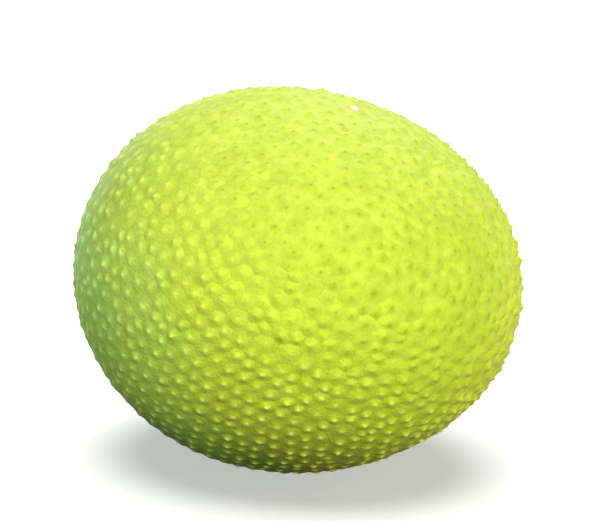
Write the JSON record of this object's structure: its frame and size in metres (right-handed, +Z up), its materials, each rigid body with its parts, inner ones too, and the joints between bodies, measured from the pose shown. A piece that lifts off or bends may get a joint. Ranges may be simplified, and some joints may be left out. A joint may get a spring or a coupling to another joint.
{
  "type": "breadfruit",
  "caption": "Whole green breadfruit lying on its side, with a net of small pointed cells all over its rind and a corky stalk scar at one end.",
  "frame": {"origin": "middle of the bounding box's underside, on the surface the fruit rests on", "axes": "+X along the fruit's level long axis, from the stalk scar to the outer end; +Z up"},
  "size_m": [0.1878, 0.1584, 0.1549],
  "materials": {
    "rind": "waxy satin yellow-green rind, deeper green in the grooves and on the shaded side"
  },
  "bodies": {
    "root": {"breadfruit": "rind"}
  },
  "joints": []
}
